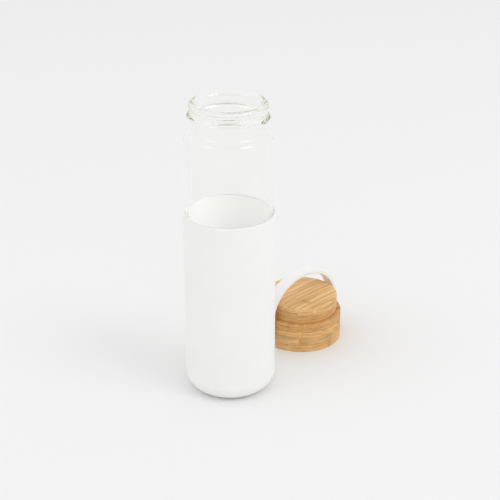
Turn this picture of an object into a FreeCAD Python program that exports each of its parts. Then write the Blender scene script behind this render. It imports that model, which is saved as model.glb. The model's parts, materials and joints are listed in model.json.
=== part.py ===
import FreeCAD
import Part
import math
import os

from FreeCAD import Vector

# Wide-mouth glass water bottle standing open in its silicone sleeve, with its laminated bamboo
# screw lid standing beside it. Millimetres. +Z is up, the origin is the centre of the base on the
# surface, and +X is the direction of the carry strap's span across the lid.

# ---- driving dimensions -------------------------------------------------------------------------
BOTTLE_HEIGHT = 229.5
GLASS_RADIUS = 32.5
GLASS_WALL = 2.0
GLASS_HEEL_RADIUS = 10.4
GLASS_FLOOR = 5.0
PUNT_DEPTH = 2.6
PUNT_RADIUS = 17.0
FOOT_RADIUS = 21.5
FLOOR_FLAT_RADIUS = 16.0
SHOULDER_LOW = 205.0
SHOULDER_HIGH = 208.5
NECK_RADIUS = 28.0
MOUTH_RADIUS = 22.6
MOUTH_DEPTH = 7.5
MOUTH_FLARE = 4.0
THROAT_RADIUS = 25.2
BEAD_RADIUS = 28.9
BEAD_HEIGHT = 3.4
BEAD_UNDERCUT = 0.9
LIP_OUTER_ROUND = 2.8
LIP_INNER_ROUND = 3.3

THREAD_PITCH = 3.2
THREAD_TURNS = 0.8
THREAD_START_DEG = -77.0
THREAD_FADE_DEG = 30.0
THREAD_STEP_DEG = 9.0
MALE_START_HEIGHT = 218.0
MALE_CREST_RADIUS = 30.2
MALE_ROOT_WIDTH = 3.0
MALE_CREST_WIDTH = 1.4
FEMALE_CREST_RADIUS = 28.6
FEMALE_ROOT_WIDTH = 1.6
FEMALE_CREST_WIDTH = 0.8

SLEEVE_WALL = 1.85
SLEEVE_GAP = 0.15
SLEEVE_FLOOR = 2.0
SLEEVE_HEIGHT = 145.5
SLEEVE_VENT_RADIUS = 8.0

LID_X = 95.65
LID_Y = 17.75
RING_RADIUS = 33.4
RING_HEIGHT = 24.5
RING_PLIES = 4
TOP_RADIUS = 30.0
TOP_HEIGHT = 13.8
TOP_PLIES = 2
GLUE_GAP = 0.05

LINER_INNER_RADIUS = 30.5
LINER_WALL = 1.2
LINER_LOW = 0.8
LINER_ROOF_LOW = 19.5
LINER_ROOF = 1.0
GASKET_THICKNESS = 1.6
GASKET_HOLE_RADIUS = 22.8

STRAP_WIDTH = 10.0
STRAP_THICKNESS = 3.6
STRAP_HALF_SPAN = 35.0
STRAP_SPRING_HEIGHT = 25.0
STRAP_APEX = 54.9
STRAP_SIDE_RADIUS = 28.0
STRAP_EDGE_ROUND = 0.9
PIVOT_HEIGHT = 15.3

STUD_SHANK_RADIUS = 1.95
STUD_COLLAR_RADIUS = 3.4
STUD_PIN_RADIUS = 2.0
STUD_HEAD_RADIUS = 4.2
STUD_HEAD_THICKNESS = 1.5
PIVOT_CLEARANCE = 0.08
SIDE_CLEARANCE = 0.1

UP = Vector(0, 0, 1)
LID_CENTRE = Vector(LID_X, LID_Y, 0)


# ---- shape helpers ------------------------------------------------------------------------------
def rounded_wire(corners):
    """Closed wire in the XZ plane through (radius, height, corner rounding) points."""
    count = len(corners)
    points = [Vector(r, 0, z) for r, z, _ in corners]
    entries = []
    exits = []
    middles = []
    for i, (_, _, rounding) in enumerate(corners):
        corner = points[i]
        back = (points[i - 1] - corner).normalize()
        ahead = (points[(i + 1) % count] - corner).normalize()
        if rounding == 0:
            entries.append(corner)
            exits.append(corner)
            middles.append(None)
            continue
        half = back.getAngle(ahead) / 2
        reach = rounding / math.tan(half)
        inward = (back + ahead).normalize()
        centre_distance = rounding / math.sin(half)
        entries.append(corner + back * reach)
        exits.append(corner + ahead * reach)
        middles.append(corner + inward * (centre_distance - rounding))
    edges = []
    for i in range(count):
        if middles[i] is not None:
            edges.append(Part.Arc(entries[i], middles[i], exits[i]).toShape())
        start = exits[i]
        end = entries[(i + 1) % count]
        if start.distanceToPoint(end) > 1e-6:
            edges.append(Part.LineSegment(start, end).toShape())
    return Part.Wire(edges)


def turned(corners):
    """Solid of revolution about the Z axis."""
    face = Part.Face(rounded_wire(corners))
    return face.revolve(Vector(0, 0, 0), UP, 360)


def thread_ridge(root_radius, crest_radius, root_width, crest_width, start_height):
    """Right-hand helical ridge that fades in and out; its foot is buried in the wall behind it."""
    bury = 0.5 if crest_radius > root_radius else -0.5
    total_deg = 360.0 * THREAD_TURNS
    steps = int(round(total_deg / THREAD_STEP_DEG))
    sections = []
    for i in range(steps + 1):
        turn_deg = total_deg * i / steps
        fade = min(1.0, turn_deg / THREAD_FADE_DEG, (total_deg - turn_deg) / THREAD_FADE_DEG)
        height = 0.15 + 0.85 * math.sin(0.5 * math.pi * fade)
        crest = root_radius + (crest_radius - root_radius) * height
        middle = start_height + THREAD_PITCH * turn_deg / 360.0
        section = Part.makePolygon([
            Vector(root_radius - bury, 0, middle - root_width / 2),
            Vector(crest, 0, middle - crest_width / 2),
            Vector(crest, 0, middle + crest_width / 2),
            Vector(root_radius - bury, 0, middle + root_width / 2),
            Vector(root_radius - bury, 0, middle - root_width / 2),
        ])
        section.rotate(Vector(0, 0, 0), UP, THREAD_START_DEG + turn_deg)
        sections.append(section)
    return Part.makeLoft(sections, True, False)


def at_lid(shape):
    """Moves a lid piece from the Z axis to where the lid stands."""
    return shape.translated(LID_CENTRE)


def pin_along_x(radius, start, end, side):
    """Cylinder on the pivot line, from one distance to another on the +X or -X side."""
    base = Vector(side * start, 0, PIVOT_HEIGHT)
    return Part.makeCylinder(radius, end - start, base, Vector(side, 0, 0))


# ---- bottle -------------------------------------------------------------------------------------
def glass_bottle():
    base = SLEEVE_FLOOR + GLUE_GAP
    inner = GLASS_RADIUS - GLASS_WALL
    bead_low = BOTTLE_HEIGHT - BEAD_HEIGHT
    body = turned([
        (0, base + PUNT_DEPTH, 0),
        (PUNT_RADIUS, base + PUNT_DEPTH, 6.0),
        (FOOT_RADIUS, base, 1.5),
        (GLASS_RADIUS, base, GLASS_HEEL_RADIUS),
        (GLASS_RADIUS, SHOULDER_LOW, 5.0),
        (NECK_RADIUS, SHOULDER_HIGH, 3.0),
        (NECK_RADIUS, bead_low - BEAD_UNDERCUT, 0.6),
        (BEAD_RADIUS, bead_low, 0.5),
        (BEAD_RADIUS, BOTTLE_HEIGHT, LIP_OUTER_ROUND),
        (MOUTH_RADIUS, BOTTLE_HEIGHT, LIP_INNER_ROUND),
        (MOUTH_RADIUS, BOTTLE_HEIGHT - MOUTH_DEPTH, 4.0),
        (THROAT_RADIUS, BOTTLE_HEIGHT - MOUTH_DEPTH - MOUTH_FLARE, 4.0),
        (THROAT_RADIUS, SHOULDER_HIGH - 0.9, 5.2),
        (inner, SHOULDER_LOW - 1.2, 3.0),
        (inner, base + GLASS_FLOOR, 8.0),
        (FLOOR_FLAT_RADIUS, base + GLASS_FLOOR, 10.0),
        (0, base + GLASS_FLOOR + 1.2, 0),
    ])
    ridge = thread_ridge(NECK_RADIUS, MALE_CREST_RADIUS, MALE_ROOT_WIDTH, MALE_CREST_WIDTH,
                         MALE_START_HEIGHT)
    return body.fuse(ridge)


def silicone_sleeve():
    inner = GLASS_RADIUS + SLEEVE_GAP
    outer = inner + SLEEVE_WALL
    return turned([
        (SLEEVE_VENT_RADIUS, 0, 0.6),
        (outer, 0, GLASS_HEEL_RADIUS + SLEEVE_WALL + SLEEVE_GAP),
        (outer, SLEEVE_HEIGHT, 0.8),
        (inner, SLEEVE_HEIGHT, 0.4),
        (inner, SLEEVE_FLOOR, GLASS_HEEL_RADIUS),
        (SLEEVE_VENT_RADIUS, SLEEVE_FLOOR, 0.6),
    ])


# ---- lid ----------------------------------------------------------------------------------------
def liner_seat_radius():
    return LINER_INNER_RADIUS + LINER_WALL + GLUE_GAP


def stud_holes(radius):
    """One straight cutter through both sides of the lid on the pivot line."""
    reach = RING_RADIUS + 5.0
    base = Vector(-reach, 0, PIVOT_HEIGHT)
    return Part.makeCylinder(radius, 2 * reach, base, Vector(1, 0, 0))


def ring_ply(index):
    """One laminated layer of the lower ring; the liner's bore runs through the lower three."""
    ply = RING_HEIGHT / RING_PLIES
    low = index * ply
    lower_round = 0.6 if index == 0 else 0
    upper_round = 0.8 if index == RING_PLIES - 1 else 0
    seat = liner_seat_radius()
    if index < RING_PLIES - 1:
        shape = turned([
            (seat, low, 0),
            (RING_RADIUS, low, lower_round),
            (RING_RADIUS, low + ply, upper_round),
            (seat, low + ply, 0),
        ])
    else:
        roof = LINER_ROOF_LOW + LINER_ROOF + GLUE_GAP
        shape = turned([
            (0, roof, 0),
            (seat, roof, 0),
            (seat, low, 0),
            (RING_RADIUS, low, lower_round),
            (RING_RADIUS, low + ply, upper_round),
            (0, low + ply, 0),
        ])
    if low < PIVOT_HEIGHT < low + ply:
        shape = shape.cut(stud_holes(STUD_SHANK_RADIUS))
    return at_lid(shape)


def top_ply(index):
    """One laminated layer of the smaller upper disc."""
    ply = TOP_HEIGHT / TOP_PLIES
    low = RING_HEIGHT + index * ply
    upper_round = 1.5 if index == TOP_PLIES - 1 else 0
    return at_lid(turned([
        (0, low, 0),
        (TOP_RADIUS, low, 0),
        (TOP_RADIUS, low + ply, upper_round),
        (0, low + ply, 0),
    ]))


def lid_liner():
    """Threaded plastic cup glued into the bamboo ring."""
    outer = LINER_INNER_RADIUS + LINER_WALL
    roof_top = LINER_ROOF_LOW + LINER_ROOF
    cup = turned([
        (0, LINER_ROOF_LOW, 0),
        (LINER_INNER_RADIUS, LINER_ROOF_LOW, 0.4),
        (LINER_INNER_RADIUS, LINER_LOW, 0.3),
        (outer, LINER_LOW, 0.3),
        (outer, roof_top, 0.4),
        (0, roof_top, 0),
    ])
    seated_height = BOTTLE_HEIGHT - (LINER_ROOF_LOW - GASKET_THICKNESS)
    ridge_start = MALE_START_HEIGHT - seated_height - THREAD_PITCH / 2
    ridge = thread_ridge(LINER_INNER_RADIUS, FEMALE_CREST_RADIUS, FEMALE_ROOT_WIDTH,
                         FEMALE_CREST_WIDTH, ridge_start)
    return at_lid(cup.fuse(ridge).cut(stud_holes(STUD_SHANK_RADIUS)))


def lid_gasket():
    """Silicone sealing ring that lies against the liner's roof."""
    top = LINER_ROOF_LOW
    low = top - GASKET_THICKNESS
    outer = LINER_INNER_RADIUS - 0.2
    return at_lid(turned([
        (GASKET_HOLE_RADIUS, low, 0.5),
        (outer, low, 0.5),
        (outer, top, 0.3),
        (GASKET_HOLE_RADIUS, top, 0.3),
    ]))


# ---- carry strap --------------------------------------------------------------------------------
def arch_profile(offset):
    """Edges of the strap's arch from the left pivot to the right one, moved outwards by offset.

    Straight legs, two side arcs and one flatter crown arc that are tangent to each other."""
    side_centre = STRAP_HALF_SPAN - STRAP_SIDE_RADIUS
    rise = STRAP_APEX - STRAP_SPRING_HEIGHT
    spare = rise - STRAP_SIDE_RADIUS
    crown_drop = (side_centre ** 2 - spare ** 2) / (2 * spare)
    crown_centre = STRAP_SPRING_HEIGHT - crown_drop
    crown_radius = STRAP_APEX - crown_centre + offset
    side_radius = STRAP_SIDE_RADIUS + offset
    join_angle = math.atan2(crown_drop, side_centre)

    def on_side(angle, side):
        x = side * (side_centre + side_radius * math.cos(angle))
        return Vector(x, 0, STRAP_SPRING_HEIGHT + side_radius * math.sin(angle))

    half_span = STRAP_HALF_SPAN + offset
    crown_top = Vector(0, 0, crown_centre + crown_radius)
    return [
        Part.LineSegment(Vector(-half_span, 0, PIVOT_HEIGHT), on_side(0, -1)).toShape(),
        Part.Arc(on_side(0, -1), on_side(join_angle / 2, -1), on_side(join_angle, -1)).toShape(),
        Part.Arc(on_side(join_angle, -1), crown_top, on_side(join_angle, 1)).toShape(),
        Part.Arc(on_side(join_angle, 1), on_side(join_angle / 2, 1), on_side(0, 1)).toShape(),
        Part.LineSegment(on_side(0, 1), Vector(half_span, 0, PIVOT_HEIGHT)).toShape(),
    ]


def carry_strap():
    """Silicone band that arches over the lid; each end is a round eye on a stud."""
    inner = arch_profile(0)
    outer = arch_profile(STRAP_THICKNESS)
    ends = []
    for side in (-1, 1):
        near = Vector(side * STRAP_HALF_SPAN, 0, PIVOT_HEIGHT)
        far = Vector(side * (STRAP_HALF_SPAN + STRAP_THICKNESS), 0, PIVOT_HEIGHT)
        ends.append(Part.LineSegment(near, far).toShape())
    outline = Part.Wire(Part.__sortEdges__(inner + outer + ends))
    band = Part.Face(outline).extrude(Vector(0, STRAP_WIDTH, 0))
    band.translate(Vector(0, -STRAP_WIDTH / 2, 0))
    for side in (-1, 1):
        reach = STRAP_HALF_SPAN + STRAP_THICKNESS
        band = band.fuse(pin_along_x(STRAP_WIDTH / 2, STRAP_HALF_SPAN, reach, side))
    band = band.removeSplitter()
    long_edges = [edge for edge in band.Edges if is_band_rim(edge)]
    band = band.makeFillet(STRAP_EDGE_ROUND, long_edges)
    for side in (-1, 1):
        reach = STRAP_HALF_SPAN + STRAP_THICKNESS + 1.0
        hole = pin_along_x(STUD_PIN_RADIUS + PIVOT_CLEARANCE, STRAP_HALF_SPAN - 1.0, reach, side)
        band = band.cut(hole)
    return at_lid(band)


def is_band_rim(edge):
    """True for the edges that run along the strap, false for any that cross its thickness."""
    middle = edge.valueAt((edge.FirstParameter + edge.LastParameter) / 2)
    on_side = abs(abs(middle.y) - STRAP_WIDTH / 2) < 0.01
    on_eye = middle.z < PIVOT_HEIGHT
    return (on_side or on_eye) and edge.Length > STRAP_THICKNESS + 0.1


def strap_stud(side):
    """Plastic button that carries one end of the strap: shank, collar, pivot pin and head."""
    collar_end = STRAP_HALF_SPAN - SIDE_CLEARANCE
    pin_end = STRAP_HALF_SPAN + STRAP_THICKNESS + SIDE_CLEARANCE
    head_end = pin_end + STUD_HEAD_THICKNESS
    shank = pin_along_x(STUD_SHANK_RADIUS, LINER_INNER_RADIUS + 0.3, RING_RADIUS + 0.2, side)
    collar = pin_along_x(STUD_COLLAR_RADIUS, RING_RADIUS + GLUE_GAP, collar_end, side)
    pin = pin_along_x(STUD_PIN_RADIUS, collar_end - 0.1, pin_end + 0.1, side)
    head = pin_along_x(STUD_HEAD_RADIUS, pin_end, head_end, side)
    rim = [e for e in head.Edges if abs(abs(e.CenterOfMass.x) - head_end) < 0.01]
    head = head.makeFillet(0.8, rim)
    return at_lid(shank.fuse([collar, pin, head]).removeSplitter())


# ---- export -------------------------------------------------------------------------------------
def all_parts():
    parts = {
        "silicone_sleeve": silicone_sleeve(),
        "glass_bottle": glass_bottle(),
        "lid_liner": lid_liner(),
        "lid_gasket": lid_gasket(),
        "carry_strap": carry_strap(),
        "strap_stud_left": strap_stud(-1),
        "strap_stud_right": strap_stud(1),
    }
    for index in range(RING_PLIES):
        parts[f"bamboo_ring_ply_{index + 1}"] = ring_ply(index)
    for index in range(TOP_PLIES):
        parts[f"bamboo_top_ply_{index + 1}"] = top_ply(index)
    return parts


os.makedirs("parts", exist_ok=True)
for name, shape in all_parts().items():
    solids = shape.Solids
    print(f"{name}: {len(solids)} solid, valid {shape.isValid()}, {shape.Volume / 1000:.2f} cm3")
    solid = solids[0] if len(solids) == 1 else shape
    solid.exportStep(f"parts/{name}.step")
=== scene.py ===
import json
import math

import bmesh
import bpy
from mathutils import Matrix, Vector


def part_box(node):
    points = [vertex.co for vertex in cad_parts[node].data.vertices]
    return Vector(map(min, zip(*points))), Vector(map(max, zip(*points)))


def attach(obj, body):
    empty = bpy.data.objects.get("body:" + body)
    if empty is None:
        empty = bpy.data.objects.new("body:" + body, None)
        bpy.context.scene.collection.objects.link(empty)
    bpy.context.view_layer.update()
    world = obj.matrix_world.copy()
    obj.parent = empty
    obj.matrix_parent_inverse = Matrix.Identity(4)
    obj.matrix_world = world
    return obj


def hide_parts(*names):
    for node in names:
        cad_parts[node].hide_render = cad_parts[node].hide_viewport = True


# The looks of a glass water bottle in its silicone sleeve, with its bamboo lid standing beside it.
# Everything is in metres in the CAD's frame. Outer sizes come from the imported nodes; the sizes
# below are the ones that a node's box doesn't give.

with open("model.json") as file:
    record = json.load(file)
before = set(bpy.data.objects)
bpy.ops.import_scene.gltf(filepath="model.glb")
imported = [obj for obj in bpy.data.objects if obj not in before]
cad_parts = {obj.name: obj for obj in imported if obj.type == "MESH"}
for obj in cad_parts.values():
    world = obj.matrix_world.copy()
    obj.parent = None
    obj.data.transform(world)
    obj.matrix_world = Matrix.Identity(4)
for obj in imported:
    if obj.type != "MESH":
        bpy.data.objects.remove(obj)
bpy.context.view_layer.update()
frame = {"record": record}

MM = 0.001

GLASS_WALL = 2.0 * MM
GLASS_HEEL = 10.4 * MM
GLASS_FLOOR = 5.0 * MM
FLOOR_FLAT_RADIUS = 16.0 * MM
FLOOR_SWELL = 1.2 * MM
PUNT_DEPTH = 2.6 * MM
PUNT_RADIUS = 17.0 * MM
FOOT_RADIUS = 21.5 * MM
NECK_RADIUS = 28.0 * MM
BEAD_RADIUS = 28.9 * MM
BEAD_HEIGHT = 3.4 * MM
BEAD_UNDERCUT = 0.9 * MM
LIP_OUTER_ROUND = 2.8 * MM
LIP_INNER_ROUND = 3.3 * MM
MOUTH_DEPTH = 7.5 * MM
MOUTH_FLARE = 4.0 * MM
THROAT_RADIUS = 25.2 * MM
SHOULDER_DROP = 24.5 * MM
SHOULDER_RISE = 3.5 * MM
THROAT_RISE = 2.6 * MM
INNER_SHOULDER_DROP = 1.2 * MM

THREAD_PITCH = 3.2 * MM
THREAD_TURNS = 0.8
THREAD_START = math.radians(-77.0)
THREAD_FADE = math.radians(30.0)
THREAD_SPACING = 0.2 * MM
MALE_START_DROP = 11.5 * MM
MALE_CREST_RADIUS = 30.2 * MM
MALE_WIDTH = 4.6 * MM
FEMALE_CREST_RADIUS = 28.6 * MM
FEMALE_WIDTH = 2.4 * MM
FEMALE_START = 4.8 * MM

SLEEVE_WALL = 1.85 * MM
SLEEVE_FLOOR = 2.0 * MM
SLEEVE_VENT_RADIUS = 8.0 * MM
SLEEVE_HEEL = 12.4 * MM
# Strength of the painted light on the sleeve's inner wall: an emission that brightens its inside.
SLEEVE_PAINTED_LIGHT = 0.45

LINER_WALL = 1.2 * MM
LINER_ROOF = 1.0 * MM
GASKET_HOLE_RADIUS = 22.8 * MM
GLUE_GAP = 0.05 * MM
PLY_EDGE_ROUND = 0.07 * MM
RING_FOOT_ROUND = 0.6 * MM
RING_TOP_ROUND = 0.8 * MM
LID_TOP_ROUND = 1.5 * MM

STRAP_THICKNESS = 3.6 * MM
STRAP_SPRING_HEIGHT = 25.0 * MM
STRAP_SIDE_RADIUS = 28.0 * MM
STRAP_EYE_HOLE = 2.08 * MM
STRAP_EDGE_ROUND = 0.9 * MM

STUD_SHANK_RADIUS = 1.95 * MM
STUD_COLLAR_RADIUS = 3.4 * MM
STUD_PIN_RADIUS = 2.0 * MM
STUD_HEAD_RADIUS = 4.2 * MM
STUD_HEAD_THICKNESS = 1.5 * MM
SIDE_CLEARANCE = 0.1 * MM

GLASS_SEGMENTS = 288
WOOD_SEGMENTS = 192
SMALL_SEGMENTS = 72
EYE_SPOKES = 48
EYE_RINGS = 3
BAND_ROWS = 90
SHARP_ANGLE = math.radians(40.0)


def radius_of(node):
    low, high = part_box(node)
    return (high[1] - low[1]) / 2


def centre_of(node):
    low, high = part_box(node)
    return Vector(((low[0] + high[0]) / 2, (low[1] + high[1]) / 2, 0.0))


def mount_radius(name):
    mount = next(m for m in frame["record"]["mounts"] if m["name"] == name)
    return mount["dims"]["r_mm"] * MM


def joint_place(name):
    joint = next(j for j in frame["record"]["behaviour"]["joints"] if j["name"] == name)
    return Vector(joint["pos_m"])


LID_CENTRE = centre_of("bamboo_top_ply_1")
PIVOT = joint_place("strap_swing")


# ---- mesh helpers -------------------------------------------------------------------------------
def arc_points(entry, exit_point, centre, steps):
    """Points of the rounding between two tangent points of a corner, ends included."""
    start = entry - centre
    turn = start.angle_signed(exit_point - centre)
    points = []
    for i in range(steps + 1):
        angle = -turn * i / steps
        cosine, sine = math.cos(angle), math.sin(angle)
        turned = Vector((start.x * cosine - start.y * sine, start.x * sine + start.y * cosine))
        points.append(centre + turned)
    return points


def outline(corners, closed=True, fine=None):
    """Points of a turned outline through (radius, height, rounding) corners.

    fine maps the index of the corner that starts a straight run to the spacing of the points on it.
    A short hold at each end of a run keeps its shading flat up to the rounding."""
    fine = fine or {}
    count = len(corners)
    places = [Vector((r, z)) for r, z, _ in corners]
    groups = []
    for i, (_, _, rounding) in enumerate(corners):
        at_end = not closed and i in (0, count - 1)
        if rounding == 0 or at_end:
            groups.append([places[i]])
            continue
        back = (places[i - 1] - places[i]).normalized()
        ahead = (places[(i + 1) % count] - places[i]).normalized()
        half = back.angle(ahead) / 2
        reach = rounding / math.tan(half)
        centre = places[i] + (back + ahead).normalized() * (rounding / math.sin(half))
        entry = places[i] + back * reach
        exit_point = places[i] + ahead * reach
        steps = max(3, round(rounding / (0.35 * MM)))
        groups.append(arc_points(entry, exit_point, centre, min(steps, 16)))
    points = []
    for i, group in enumerate(groups):
        points.extend(group)
        if not closed and i == count - 1:
            break
        start, end = group[-1], groups[(i + 1) % count][0]
        run = (end - start).length
        if i in fine:
            steps = max(1, round(run / fine[i]))
            points.extend(start.lerp(end, k / steps) for k in range(1, steps))
        elif run > 1.5 * MM:
            hold = 0.3 * MM / run
            points.extend((start.lerp(end, hold), start.lerp(end, 1 - hold)))
    return points


def lathe(name, points, segments, centre=Vector((0, 0, 0)), closed=True, bulge=None):
    """Mesh object turned about a vertical axis. bulge(radius, height, angle) gives extra radius."""
    mesh = bpy.data.meshes.new(name)
    work = bmesh.new()
    rings = []
    for point in points:
        if point.x < 1e-7:
            rings.append([work.verts.new(centre + Vector((0, 0, point.y)))])
            continue
        ring = []
        for k in range(segments):
            angle = 2 * math.pi * k / segments
            radius = point.x + (bulge(point.x, point.y, angle) if bulge else 0.0)
            spot = Vector((radius * math.cos(angle), radius * math.sin(angle), point.y))
            ring.append(work.verts.new(centre + spot))
        rings.append(ring)
    pairs = list(zip(rings, rings[1:]))
    if closed:
        pairs.append((rings[-1], rings[0]))
    for lower, upper in pairs:
        for k in range(segments):
            after = (k + 1) % segments
            if len(lower) == 1 and len(upper) == 1:
                break
            if len(lower) == 1:
                work.faces.new((lower[0], upper[after], upper[k]))
            elif len(upper) == 1:
                work.faces.new((lower[k], lower[after], upper[0]))
            else:
                work.faces.new((lower[k], lower[after], upper[after], upper[k]))
    return finish_mesh(name, mesh, work)


def finish_mesh(name, mesh, work):
    """Closes a bmesh into a smooth-shaded object in the scene."""
    bmesh.ops.recalc_face_normals(work, faces=work.faces)
    work.to_mesh(mesh)
    work.free()
    mesh.polygons.foreach_set("use_smooth", [True] * len(mesh.polygons))
    mesh.set_sharp_from_angle(angle=SHARP_ANGLE)
    piece = bpy.data.objects.new(name, mesh)
    bpy.context.scene.collection.objects.link(piece)
    return piece


def place(piece, body, node, material):
    """Makes a piece stand for a CAD node and ride on its body."""
    piece.data.materials.append(material)
    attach(piece, body)
    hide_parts(node)


def thread_bulge(wall_radius, crest_radius, width, start_height):
    """Right-hand ridge on a turned wall: its extra radius at a height and angle, faded at both ends."""
    total = 2 * math.pi * THREAD_TURNS
    rise = crest_radius - wall_radius

    def extra(radius, height, angle):
        if abs(radius - wall_radius) > 0.01 * MM:
            return 0.0
        most = 0.0
        turn = (angle - THREAD_START) % (2 * math.pi)
        while turn < total:
            middle = start_height + THREAD_PITCH * turn / (2 * math.pi)
            fade = min(1.0, turn / THREAD_FADE, (total - turn) / THREAD_FADE)
            end_fade = math.sin(0.5 * math.pi * fade)
            across = min(1.0, abs(height - middle) / (width / 2))
            most = max(most, math.cos(0.5 * math.pi * across) ** 2 * end_fade)
            turn += 2 * math.pi
        return rise * most

    return extra


# ---- material helpers ---------------------------------------------------------------------------
class Graph:
    """A material's nodes, with one short call for each kind of step."""

    def __init__(self, name):
        self.material = bpy.data.materials.new(name)
        self.material.use_nodes = True
        self.tree = self.material.node_tree
        self.tree.nodes.clear()
        self.shader = self.add("ShaderNodeBsdfPrincipled")
        self.output = self.add("ShaderNodeOutputMaterial")
        self.tree.links.new(self.shader.outputs[0], self.output.inputs["Surface"])

    def add(self, kind, settings=None, inputs=None):
        node = self.tree.nodes.new(kind)
        for key, value in (settings or {}).items():
            setattr(node, key, value)
        for key, value in (inputs or {}).items():
            self.feed(node.inputs[key], value)
        return node

    def feed(self, socket, value):
        if isinstance(value, bpy.types.NodeSocket):
            self.tree.links.new(value, socket)
        else:
            socket.default_value = value

    def set(self, **values):
        """Shader sockets by name, with _ for the spaces."""
        for key, value in values.items():
            self.feed(self.shader.inputs[key.replace("_", " ")], value)

    def math(self, operation, first, second=0.0):
        return self.add("ShaderNodeMath", {"operation": operation}, {0: first, 1: second}).outputs[0]

    def vector_math(self, operation, first, second):
        node = self.add("ShaderNodeVectorMath", {"operation": operation}, {0: first, 1: second})
        return node.outputs[0]

    def dot(self, first, second):
        node = self.add("ShaderNodeVectorMath", {"operation": "DOT_PRODUCT"}, {0: first, 1: second})
        return node.outputs["Value"]

    def remap(self, value, low, high, to_low=0.0, to_high=1.0):
        node = self.add("ShaderNodeMapRange", {"interpolation_type": "SMOOTHSTEP"})
        for index, item in enumerate((value, low, high, to_low, to_high)):
            self.feed(node.inputs[index], item)
        return node.outputs[0]

    def mix(self, factor, first, second):
        node = self.add("ShaderNodeMix", {"data_type": "RGBA"})
        self.feed(node.inputs[0], factor)
        self.feed(node.inputs[6], first)
        self.feed(node.inputs[7], second)
        return node.outputs[2]

    def stain(self, colour, mask, strength, stain_colour):
        """Lays a second colour over the first where the mask is high, up to a strength."""
        return self.mix(self.math("MULTIPLY", mask, strength), colour, stain_colour)

    def place(self):
        return self.add("ShaderNodeTexCoord").outputs["Object"]

    def facing(self):
        return self.add("ShaderNodeTexCoord").outputs["Normal"]

    def noise(self, vector, scale, detail=2.0, roughness=0.5):
        inputs = {"Vector": vector, "Scale": scale, "Detail": detail, "Roughness": roughness}
        return self.add("ShaderNodeTexNoise", None, inputs).outputs[0]

    def bump(self, height, distance, strength):
        inputs = {"Height": height, "Distance": distance, "Strength": strength}
        return self.add("ShaderNodeBump", None, inputs).outputs[0]


def shade(red, green, blue):
    return (red, green, blue, 1.0)


# ---- materials ----------------------------------------------------------------------------------
def clear_glass():
    """Soda-lime glass: clear through the wall, olive where light runs along it, faintly wavy."""
    g = Graph("clear_glass")
    spot = g.place()
    draw = g.vector_math("MULTIPLY", spot, (1.0, 1.0, 0.12))
    waves = g.noise(draw, 90.0, 2.0, 0.4)
    tint = g.mix(g.noise(spot, 25.0), shade(0.995, 0.997, 0.993), shade(0.998, 0.999, 0.997))
    g.set(Base_Color=tint, Roughness=0.0, IOR=1.5, Transmission_Weight=1.0)
    g.set(Normal=g.bump(waves, 0.05 * MM, 0.2))
    inside = g.add("ShaderNodeVolumeAbsorption")
    inside.inputs["Color"].default_value = shade(0.60, 0.66, 0.25)
    inside.inputs["Density"].default_value = 2.2
    g.tree.links.new(inside.outputs[0], g.output.inputs["Volume"])
    return g.material


def moulded_silicone(name, light, deep, roughness, grain, painted_inner_light=0.0):
    """Matte moulded silicone rubber: fine satin grain, faint clouding, a little light inside.

    The inner-light argument is the strength of a painted light: an emission on the inner wall that
    brightens the sleeve's inside."""
    g = Graph(name)
    spot = g.place()
    cloud = g.noise(spot, 28.0, 3.0, 0.55)
    colour = g.mix(g.remap(cloud, 0.35, 0.65), deep, light)
    fine = g.noise(spot, grain, 2.0, 0.6)
    pits = g.noise(spot, grain * 0.23, 3.0, 0.5)
    texture = g.math("ADD", g.math("MULTIPLY", fine, 0.6), pits)
    g.set(Base_Color=colour, Roughness=g.remap(fine, 0.3, 0.7, roughness - 0.05, roughness + 0.06))
    if painted_inner_light:
        # Painted light: inward-facing walls emit a faint glow so the inside of the sleeve reads bright.
        inward = g.remap(g.dot(g.facing(), spot), 0.0, -4.0 * MM)
        g.set(Emission_Color=light, Emission_Strength=g.math("MULTIPLY", inward, painted_inner_light))
    g.set(Subsurface_Weight=0.15, Subsurface_Radius=(3.0 * MM, 3.0 * MM, 2.8 * MM),
          Subsurface_Scale=1.0)
    g.set(Sheen_Weight=0.08, Sheen_Roughness=0.5, Specular_IOR_Level=0.4)
    g.set(Normal=g.bump(texture, 0.03 * MM, 0.5))
    return g.material


def moulded_plastic(name, light, deep, roughness):
    """Satin polypropylene with faint flow marks."""
    g = Graph(name)
    spot = g.place()
    flow = g.noise(g.vector_math("MULTIPLY", spot, (1.0, 1.0, 3.0)), 60.0, 3.0, 0.5)
    fine = g.noise(spot, 2600.0, 1.0, 0.5)
    g.set(Base_Color=g.mix(g.remap(flow, 0.3, 0.7), deep, light))
    g.set(Roughness=g.remap(flow, 0.3, 0.7, roughness - 0.05, roughness + 0.05))
    g.set(Subsurface_Weight=0.1, Subsurface_Radius=(1.5 * MM, 1.5 * MM, 1.4 * MM),
          Subsurface_Scale=1.0)
    g.set(Normal=g.bump(fine, 0.015 * MM, 0.4))
    return g.material


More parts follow.
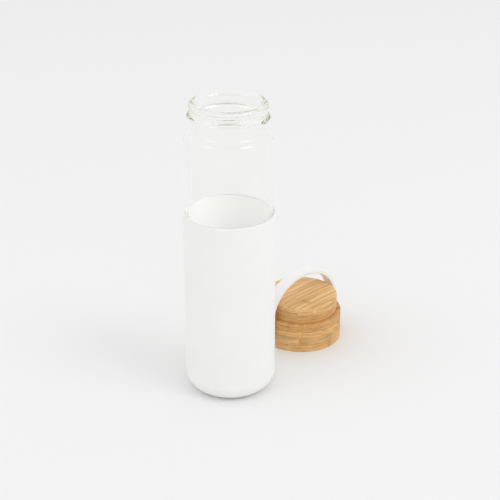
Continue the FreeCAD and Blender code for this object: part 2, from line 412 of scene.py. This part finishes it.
def laminated_bamboo(node, grain_degrees, seed, warmth, strip_width, strip_shift):
    """Glued bamboo strips that all run one way.

    Long fibres run on a face, flat streaks with patches of dashes on a side, bundle dots on an end."""
    low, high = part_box(node)
    g = Graph(f"{node}_grain")
    from_centre = g.vector_math("SUBTRACT", g.place(), LID_CENTRE)
    turned = g.add("ShaderNodeVectorRotate", {"rotation_type": "Z_AXIS"},
                   {"Vector": from_centre, "Angle": -math.radians(grain_degrees)}).outputs[0]
    in_mm = g.vector_math("MULTIPLY", turned, (1 / MM, 1 / MM, 1 / MM))
    wander = g.noise(g.vector_math("MULTIPLY", in_mm, (0.03, 0.07, 0.07)), 1.0, 1.0)
    split = g.add("ShaderNodeSeparateXYZ", None, {0: in_mm})
    along, across, height = split.outputs[0], split.outputs[1], split.outputs[2]
    across = g.math("ADD", across, g.math("MULTIPLY", wander, 1.6))

    strip = g.math("DIVIDE", g.math("ADD", across, 200.0 + strip_shift), strip_width)
    index = g.math("FLOOR", strip)
    lot = g.add("ShaderNodeTexWhiteNoise", {"noise_dimensions": "1D"},
                {"W": g.math("ADD", index, seed)})
    strip_tone = lot.outputs["Value"]
    edge = g.math("ABSOLUTE", g.math("SUBTRACT", g.math("FRACT", strip), 0.5))
    glue = g.remap(edge, 0.5 - 0.16 / strip_width, 0.5)

    moved = g.add("ShaderNodeCombineXYZ", None, {
        0: g.math("ADD", along, g.math("MULTIPLY", strip_tone, 700.0)), 1: across, 2: height}).outputs[0]
    facing = g.facing()
    flat_face = g.add("ShaderNodeSeparateXYZ", None, {0: facing}).outputs[2]
    on_side = g.remap(g.math("ABSOLUTE", flat_face), 0.5, 0.1)

    def grain_noise(face_scale, side_scale, detail, roughness):
        """Noise stretched one way on a flat face and another way on a side."""
        face = g.noise(g.vector_math("MULTIPLY", moved, face_scale), 1.0, detail, roughness)
        side = g.noise(g.vector_math("MULTIPLY", moved, side_scale), 1.0, detail, roughness)
        return g.math("ADD", g.math("MULTIPLY", face, g.math("SUBTRACT", 1.0, on_side)),
                      g.math("MULTIPLY", side, on_side))

    fibre = grain_noise((0.05, 2.6, 2.6), (0.05, 0.16, 2.0), 4.0, 0.62)
    streak = grain_noise((0.018, 0.62, 0.62), (0.018, 0.06, 0.55), 3.0, 0.6)
    band = g.noise(g.vector_math("MULTIPLY", moved, (0.01, 0.2, 0.2)), 1.0, 2.0, 0.5)
    bundles = g.add("ShaderNodeTexVoronoi", {"feature": "F1"}, {
        "Vector": g.vector_math("MULTIPLY", moved, (0.05, 0.95, 0.6)), "Scale": 1.0}).outputs["Distance"]
    bundle = g.remap(bundles, 0.42, 0.12)

    direction = (math.cos(math.radians(grain_degrees)), math.sin(math.radians(grain_degrees)), 0.0)
    end_grain = g.remap(g.math("ABSOLUTE", g.dot(facing, direction)), 0.72, 0.98)

    shifted = g.math("ADD", along, g.math("MULTIPLY", strip_tone, 3100.0))
    knuckle_place = g.math("FRACT", g.math("DIVIDE", shifted, 150.0))
    knuckle = g.remap(g.math("ABSOLUTE", g.math("SUBTRACT", knuckle_place, 0.5)), 0.02, 0.004)
    # Darkens the side near each ply's top and bottom edge. Part of this is the real dark glue line
    # between plies, and part is painted contact shade at the joints and where the ring stands on the
    # table.
    low_glue_and_shade = g.remap(height, low[2] / MM + 0.5, low[2] / MM + 0.1)
    high_glue_and_shade = g.remap(height, high[2] / MM - 0.5, high[2] / MM - 0.1)
    glue_line_and_shade = g.math("MULTIPLY", g.math("MAXIMUM", low_glue_and_shade, high_glue_and_shade), on_side)
    dashes = g.noise(g.vector_math("MULTIPLY", moved, (0.05, 1.1, 1.6)), 1.0, 2.0, 0.6)
    dash_patch = g.math("MULTIPLY", on_side, g.remap(band, 0.44, 0.56))
    dash = g.math("MULTIPLY", g.remap(dashes, 0.5, 0.62), dash_patch)

    light, middle, deep = warmth
    colour = g.mix(g.remap(band, 0.35, 0.65), middle, light)
    colour = g.stain(colour, strip_tone, 0.6, middle)
    colour = g.stain(colour, g.remap(streak, 0.46, 0.64), 0.55, deep)
    colour = g.stain(colour, g.remap(streak, 0.44, 0.3), 0.5, light)
    colour = g.stain(colour, g.remap(fibre, 0.48, 0.68), 0.42, deep)
    dots = g.math("MULTIPLY", bundle, g.remap(end_grain, 0.0, 1.0, 0.06, 0.34))
    colour = g.mix(dots, colour, deep)
    colour = g.stain(colour, dash, 0.4, deep)
    colour = g.stain(colour, knuckle, 0.5, deep)
    colour = g.stain(colour, glue, 0.3, deep)
    # Painted contact shade together with the real dark glue line, at each ply's top and bottom edge.
    colour = g.stain(colour, glue_line_and_shade, 0.45, deep)
    g.set(Base_Color=colour)
    g.set(Roughness=g.remap(fibre, 0.3, 0.7, 0.42, 0.58))
    g.set(Specular_IOR_Level=0.35, Coat_Weight=0.06, Coat_Roughness=0.4)
    relief = g.math("ADD", fibre, g.math("MULTIPLY", bundle, -0.5))
    relief = g.math("ADD", relief, g.math("MULTIPLY", glue, -0.6))
    g.set(Normal=g.bump(relief, 0.06 * MM, 0.5))
    return g.material


# Each wood is a light, a middle and a deep tone. The ring's layers go from the table up, each with
# the direction of its grain in degrees.
HONEY = (shade(0.900, 0.610, 0.300), shade(0.780, 0.475, 0.190), shade(0.420, 0.195, 0.055))
GOLD = (shade(0.850, 0.540, 0.225), shade(0.760, 0.440, 0.155), shade(0.440, 0.210, 0.060))
TAN = (shade(0.830, 0.560, 0.255), shade(0.740, 0.465, 0.190), shade(0.440, 0.225, 0.070))
AMBER = (shade(0.770, 0.460, 0.180), shade(0.650, 0.360, 0.125), shade(0.370, 0.165, 0.046))
RING_GRAINS = ((4.0, GOLD), (68.0, TAN), (66.0, GOLD), (10.0, AMBER))
RING_STRIP_WIDTH = 17.0


# ---- bottle -------------------------------------------------------------------------------------
def build_glass():
    low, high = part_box("glass_bottle")
    base, top = low[2], high[2]
    radius = radius_of("glass_bottle")
    inner = radius - GLASS_WALL
    mouth = mount_radius("mouth")
    shoulder = top - SHOULDER_DROP
    bead_low = top - BEAD_HEIGHT
    floor = base + GLASS_FLOOR
    corners = [
        (0, base + PUNT_DEPTH, 0),
        (PUNT_RADIUS, base + PUNT_DEPTH, 6.0 * MM),
        (FOOT_RADIUS, base, 1.5 * MM),
        (radius, base, GLASS_HEEL),
        (radius, shoulder, 5.0 * MM),
        (NECK_RADIUS, shoulder + SHOULDER_RISE, 3.0 * MM),
        (NECK_RADIUS, bead_low - BEAD_UNDERCUT, 0.6 * MM),
        (BEAD_RADIUS, bead_low, 0.5 * MM),
        (BEAD_RADIUS, top, LIP_OUTER_ROUND),
        (mouth, top, LIP_INNER_ROUND),
        (mouth, top - MOUTH_DEPTH, 4.0 * MM),
        (THROAT_RADIUS, top - MOUTH_DEPTH - MOUTH_FLARE, 4.0 * MM),
        (THROAT_RADIUS, shoulder + THROAT_RISE, 5.2 * MM),
        (inner, shoulder - INNER_SHOULDER_DROP, 3.0 * MM),
        (inner, floor, 8.0 * MM),
        (FLOOR_FLAT_RADIUS, floor, 10.0 * MM),
        (0, floor + FLOOR_SWELL, 0),
    ]
    neck_run = 5
    points = outline(corners, closed=False, fine={neck_run: THREAD_SPACING})
    ridge = thread_bulge(NECK_RADIUS, MALE_CREST_RADIUS, MALE_WIDTH, top - MALE_START_DROP)
    glass = lathe("glass_bottle_blown", points, GLASS_SEGMENTS, closed=False, bulge=ridge)
    glass.visible_shadow = False
    place(glass, "bottle", "glass_bottle", clear_glass())


def build_sleeve():
    outer = radius_of("silicone_sleeve")
    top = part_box("silicone_sleeve")[1][2]
    inner = outer - SLEEVE_WALL
    corners = [
        (SLEEVE_VENT_RADIUS, 0, 0.6 * MM),
        (outer, 0, SLEEVE_HEEL),
        (outer, top, 0.8 * MM),
        (inner, top, 0.4 * MM),
        (inner, SLEEVE_FLOOR, GLASS_HEEL),
        (SLEEVE_VENT_RADIUS, SLEEVE_FLOOR, 0.6 * MM),
    ]
    sleeve = lathe("silicone_sleeve_moulded", outline(corners), GLASS_SEGMENTS)
    silicone = moulded_silicone("sleeve_silicone", shade(0.893, 0.890, 0.880),
                                shade(0.878, 0.875, 0.865), 0.55, 2400.0, painted_inner_light=SLEEVE_PAINTED_LIGHT)
    place(sleeve, "sleeve", "silicone_sleeve", silicone)


# ---- lid ----------------------------------------------------------------------------------------
def build_ring_ply(number, material):
    """One layer of the lower ring. The liner passes through it, or ends inside the highest."""
    node = f"bamboo_ring_ply_{number}"
    low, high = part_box(node)
    radius = radius_of(node)
    seat = radius_of("lid_liner") + GLUE_GAP
    last = len(RING_GRAINS)
    lower = RING_FOOT_ROUND if number == 1 else PLY_EDGE_ROUND
    upper = RING_TOP_ROUND if number == last else PLY_EDGE_ROUND
    if number < last:
        corners = [(seat, low[2], 0), (radius, low[2], lower),
                   (radius, high[2], upper), (seat, high[2], 0)]
        points = outline(corners)
        ply = lathe(f"{node}_turned", points, WOOD_SEGMENTS, LID_CENTRE)
    else:
        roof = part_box("lid_liner")[1][2] + GLUE_GAP
        corners = [(0, roof, 0), (seat, roof, 0), (seat, low[2], 0), (radius, low[2], lower),
                   (radius, high[2], upper), (0, high[2], 0)]
        points = outline(corners, closed=False)
        ply = lathe(f"{node}_turned", points, WOOD_SEGMENTS, LID_CENTRE, closed=False)
    place(ply, "lid", node, material)


def build_top_ply(number, material):
    """One layer of the smaller upper disc."""
    node = f"bamboo_top_ply_{number}"
    low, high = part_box(node)
    radius = radius_of(node)
    upper = LID_TOP_ROUND if number == 2 else PLY_EDGE_ROUND
    corners = [(0, low[2], 0), (radius, low[2], PLY_EDGE_ROUND),
               (radius, high[2], upper), (0, high[2], 0)]
    points = outline(corners, closed=False)
    ply = lathe(f"{node}_turned", points, WOOD_SEGMENTS, LID_CENTRE, closed=False)
    place(ply, "lid", node, material)


def build_liner():
    low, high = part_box("lid_liner")
    outer = radius_of("lid_liner")
    bore = outer - LINER_WALL
    roof = high[2] - LINER_ROOF
    corners = [
        (0, roof, 0),
        (bore, roof, 0.4 * MM),
        (bore, low[2], 0.3 * MM),
        (outer, low[2], 0.3 * MM),
        (outer, high[2], 0.4 * MM),
        (0, high[2], 0),
    ]
    bore_run = 1
    points = outline(corners, closed=False, fine={bore_run: THREAD_SPACING})
    ridge = thread_bulge(bore, FEMALE_CREST_RADIUS, FEMALE_WIDTH, FEMALE_START)
    liner = lathe("lid_liner_threaded", points, WOOD_SEGMENTS, LID_CENTRE, closed=False, bulge=ridge)
    plastic = moulded_plastic("liner_plastic", shade(0.80, 0.80, 0.78), shade(0.77, 0.77, 0.745), 0.4)
    place(liner, "lid", "lid_liner", plastic)


def build_gasket():
    low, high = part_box("lid_gasket")
    outer = radius_of("lid_gasket")
    corners = [(GASKET_HOLE_RADIUS, low[2], 0.5 * MM), (outer, low[2], 0.5 * MM),
               (outer, high[2], 0.3 * MM), (GASKET_HOLE_RADIUS, high[2], 0.3 * MM)]
    gasket = lathe("lid_gasket_ring", outline(corners), WOOD_SEGMENTS, LID_CENTRE)
    silicone = moulded_silicone("gasket_silicone", shade(0.84, 0.84, 0.83),
                                shade(0.81, 0.81, 0.80), 0.42, 3200.0)
    place(gasket, "lid", "lid_gasket", silicone)


# ---- carry strap --------------------------------------------------------------------------------
class StrapArch:
    """Centre line of the strap in its own plane: straight legs, two side arcs and a crown arc."""

    def __init__(self):
        low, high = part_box("carry_strap")
        half = STRAP_THICKNESS / 2
        self.half_span = (high[0] - low[0]) / 2 - half
        self.side_radius = STRAP_SIDE_RADIUS + half
        self.side_centre = self.half_span - self.side_radius
        spare = high[2] - half - STRAP_SPRING_HEIGHT - self.side_radius
        self.crown_drop = (self.side_centre ** 2 - spare ** 2) / (2 * spare)
        self.crown_radius = self.crown_drop + spare + self.side_radius
        self.join = math.atan2(self.crown_drop, self.side_centre)
        self.leg = STRAP_SPRING_HEIGHT - PIVOT.z
        self.side_length = self.side_radius * self.join
        self.crown_half = self.crown_radius * (math.pi / 2 - self.join)
        self.half_length = self.leg + self.side_length + self.crown_half

    def at(self, distance):
        """(x, z, outward x, outward z) at a distance along the strap from the left eye's centre."""
        side = -1
        if distance > self.half_length:
            side = 1
            distance = 2 * self.half_length - distance
        if distance < self.leg:
            return side * self.half_span, PIVOT.z + distance, side, 0.0
        if distance < self.leg + self.side_length:
            angle = (distance - self.leg) / self.side_radius
            x, z = math.cos(angle), math.sin(angle)
            arc_height = STRAP_SPRING_HEIGHT + self.side_radius * z
            return side * (self.side_centre + self.side_radius * x), arc_height, side * x, z
        angle = self.join + (distance - self.leg - self.side_length) / self.crown_radius
        x, z = math.cos(angle), math.sin(angle)
        crown_height = STRAP_SPRING_HEIGHT - self.crown_drop
        return side * self.crown_radius * x, crown_height + self.crown_radius * z, side * x, z


def build_strap():
    """Band with a round eye at each end, laid flat first and then wrapped along the arch."""
    arch = StrapArch()
    low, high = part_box("carry_strap")
    half_width = (high[1] - low[1]) / 2
    full = 2 * arch.half_length
    quarter = EYE_SPOKES // 4
    columns = list(range(quarter // 2, quarter // 2 + quarter + 1))

    def spoke(angle, at_hole):
        """End of a spoke from an eye's centre: on the hole, or outside, square towards the band."""
        cosine, sine = math.cos(angle), math.sin(angle)
        if at_hole:
            return STRAP_EYE_HOLE * sine, STRAP_EYE_HOLE * cosine
        reach = half_width / max(abs(cosine), abs(sine)) if sine > 0 else half_width
        return reach * sine, reach * cosine

    flat = {}
    quads = []
    for eye, toward in ((0.0, 1), (full, -1)):
        for k in range(EYE_SPOKES):
            angle = 2 * math.pi * k / EYE_SPOKES
            inner_end, outer_end = spoke(angle, True), spoke(angle, False)
            for step in range(EYE_RINGS + 1):
                share = step / EYE_RINGS
                distance = inner_end[0] * (1 - share) + outer_end[0] * share
                y = inner_end[1] * (1 - share) + outer_end[1] * share
                flat[(toward, k, step)] = (eye + toward * distance, y)
        for k in range(EYE_SPOKES):
            after = (k + 1) % EYE_SPOKES
            for step in range(EYE_RINGS):
                quads.append(((toward, k, step), (toward, after, step),
                              (toward, after, step + 1), (toward, k, step + 1)))
    for row in range(1, BAND_ROWS):
        distance = half_width + (full - 2 * half_width) * row / BAND_ROWS
        for k in columns:
            flat[("band", row, k)] = (distance, flat[(1, k, EYE_RINGS)][1])

    def band_key(row, k):
        if row == 0:
            return (1, k, EYE_RINGS)
        if row == BAND_ROWS:
            return (-1, k, EYE_RINGS)
        return ("band", row, k)

    for row in range(BAND_ROWS):
        for k in columns[:-1]:
            quads.append((band_key(row, k), band_key(row, k + 1),
                          band_key(row + 1, k + 1), band_key(row + 1, k)))

    mesh = bpy.data.meshes.new("carry_strap_band")
    work = bmesh.new()
    layers = []
    for offset in (-STRAP_THICKNESS / 2, STRAP_THICKNESS / 2):
        made = {}
        for key, (distance, y) in flat.items():
            if distance < 0 or distance > full:
                side = -1 if distance < 0 else 1
                past = -distance if distance < 0 else distance - full
                spot = Vector((side * (arch.half_span + offset), y, PIVOT.z - past))
            else:
                x, z, out_x, out_z = arch.at(distance)
                spot = Vector((x + out_x * offset, y, z + out_z * offset))
            made[key] = work.verts.new(spot + LID_CENTRE)
        layers.append(made)
    for made in layers:
        for quad in quads:
            work.faces.new([made[key] for key in quad])
    rim = [edge for edge in work.edges if edge.is_boundary]
    across = {vert: layers[1][key] for key, vert in layers[0].items()}
    for edge in rim:
        first, second = edge.verts
        if first in across and second in across:
            work.faces.new((first, second, across[second], across[first]))
    strap = finish_mesh("carry_strap_band", mesh, work)
    round_over = strap.modifiers.new("round_over", "BEVEL")
    round_over.width = STRAP_EDGE_ROUND
    round_over.segments = 5
    round_over.limit_method = "ANGLE"
    round_over.angle_limit = math.radians(60)
    silicone = moulded_silicone("strap_silicone", shade(0.875, 0.872, 0.862),
                                shade(0.855, 0.852, 0.84), 0.5, 2600.0)
    place(strap, "strap", "carry_strap", silicone)


def build_stud(node, side, material):
    """Button that holds a strap end: shank, collar, pin and a softly domed head with a dimple."""
    low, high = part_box("carry_strap")
    inner_face = (high[0] - low[0]) / 2 - STRAP_THICKNESS
    collar_end = inner_face - SIDE_CLEARANCE
    head_start = inner_face + STRAP_THICKNESS + SIDE_CLEARANCE
    head_end = head_start + STUD_HEAD_THICKNESS
    wall = radius_of("bamboo_ring_ply_3")
    shank_start = radius_of("lid_liner") - LINER_WALL + 0.3 * MM
    corners = [
        (0, shank_start, 0),
        (STUD_SHANK_RADIUS, shank_start, 0.2 * MM),
        (STUD_SHANK_RADIUS, wall + GLUE_GAP, 0),
        (STUD_COLLAR_RADIUS, wall + GLUE_GAP, 0.2 * MM),
        (STUD_COLLAR_RADIUS, collar_end, 0.25 * MM),
        (STUD_PIN_RADIUS, collar_end, 0),
        (STUD_PIN_RADIUS, head_start, 0),
        (STUD_HEAD_RADIUS, head_start, 0.25 * MM),
        (STUD_HEAD_RADIUS, head_end - 0.25 * MM, 0.7 * MM),
        (1.4 * MM, head_end, 0.3 * MM),
        (1.0 * MM, head_end - 0.35 * MM, 0.2 * MM),
        (0, head_end - 0.4 * MM, 0),
    ]
    stud = lathe(f"{node}_button", outline(corners, closed=False), SMALL_SEGMENTS, closed=False)
    to_side = Matrix.Rotation(side * math.pi / 2, 4, "Y")
    stud.data.transform(Matrix.Translation(Vector((LID_CENTRE.x, LID_CENTRE.y, PIVOT.z))) @ to_side)
    place(stud, "lid", node, material)


# ---- stage, light and camera --------------------------------------------------------------------
CAMERA_AZIMUTH = -42.0
CAMERA_DISTANCE = 0.8066
CAMERA_HEIGHT = 0.48807
CAMERA_PITCH = math.radians(24.917)
CAMERA_YAW = math.radians(1.081)
CAMERA_LENS = 85.58
FLOOR_REACH = 6.0
LIGHT_AIM = Vector((0.03, 0.0, 0.1))
SOFTBOX_SIZE = 1.8
GLASS_BOUNCES = 256


def build_stage():
    mesh = bpy.data.meshes.new("studio_floor")
    work = bmesh.new()
    bmesh.ops.create_grid(work, x_segments=1, y_segments=1, size=FLOOR_REACH)
    work.to_mesh(mesh)
    work.free()
    floor = bpy.data.objects.new("studio_floor", mesh)
    bpy.context.scene.collection.objects.link(floor)
    g = Graph("studio_paper")
    g.set(Base_Color=shade(0.85, 0.85, 0.85), Roughness=0.9, Specular_IOR_Level=0.1)
    mesh.materials.append(g.material)


def area_light(name, where, size, power):
    """Round soft box that faces the middle of the object."""
    light = bpy.data.lights.new(name, "AREA")
    light.shape = "DISK"
    light.size = size
    light.energy = power
    lamp = bpy.data.objects.new(name, light)
    lamp.location = where
    lamp.rotation_euler = (LIGHT_AIM - where).to_track_quat("-Z", "Y").to_euler()
    bpy.context.scene.collection.objects.link(lamp)


def build_light():
    world = bpy.data.worlds.new("studio_air")
    world.use_nodes = True
    background = world.node_tree.nodes["Background"]
    background.inputs["Color"].default_value = shade(1.0, 1.0, 1.0)
    background.inputs["Strength"].default_value = 0.92
    bpy.context.scene.world = world
    turn = Matrix.Rotation(math.radians(CAMERA_AZIMUTH), 3, "Z")
    area_light("softbox_right", turn @ Vector((2.1, -1.3, 2.5)), SOFTBOX_SIZE, 18.0)
    area_light("softbox_left", turn @ Vector((-2.1, -1.0, 2.3)), SOFTBOX_SIZE, 7.0)
    bpy.context.scene.view_settings.view_transform = "Standard"
    # Light runs a long way inside thick clear glass before it gets out again.
    bpy.context.scene.cycles.max_bounces = GLASS_BOUNCES
    bpy.context.scene.cycles.transmission_bounces = GLASS_BOUNCES
    bpy.context.scene.cycles.glossy_bounces = GLASS_BOUNCES


def build_camera():
    """Looks down at the bottle, with the lid beyond it on the right."""
    turn = Matrix.Rotation(math.radians(CAMERA_AZIMUTH), 3, "Z")
    level = math.cos(CAMERA_PITCH)
    forward = Vector((math.sin(CAMERA_YAW) * level, math.cos(CAMERA_YAW) * level,
                      -math.sin(CAMERA_PITCH)))
    data = bpy.data.cameras.new("camera")
    data.lens = CAMERA_LENS
    data.sensor_width = 36.0
    data.clip_end = 50.0
    camera = bpy.data.objects.new("camera", data)
    camera.location = turn @ Vector((0.0, -CAMERA_DISTANCE, CAMERA_HEIGHT))
    camera.rotation_euler = (turn @ forward).to_track_quat("-Z", "Y").to_euler()
    bpy.context.scene.collection.objects.link(camera)
    bpy.context.scene.camera = camera


# ---- the whole object ---------------------------------------------------------------------------
build_camera()
build_light()
build_stage()
build_glass()
build_sleeve()
for number, (grain, warmth) in enumerate(RING_GRAINS, start=1):
    wood = laminated_bamboo(f"bamboo_ring_ply_{number}", grain, 11.0 * number, warmth,
                            RING_STRIP_WIDTH, 3.0 * number)
    build_ring_ply(number, wood)
build_top_ply(1, laminated_bamboo("bamboo_top_ply_1", 72.0, 71.0, AMBER, 15.0, 4.0))
build_top_ply(2, laminated_bamboo("bamboo_top_ply_2", 2.0, 83.0, HONEY, 8.0, 2.0))
build_liner()
build_gasket()
build_strap()
stud_plastic = moulded_plastic("stud_plastic", shade(0.83, 0.83, 0.81), shade(0.80, 0.80, 0.78),
                               0.38)
build_stud("strap_stud_left", -1, stud_plastic)
build_stud("strap_stud_right", 1, stud_plastic)
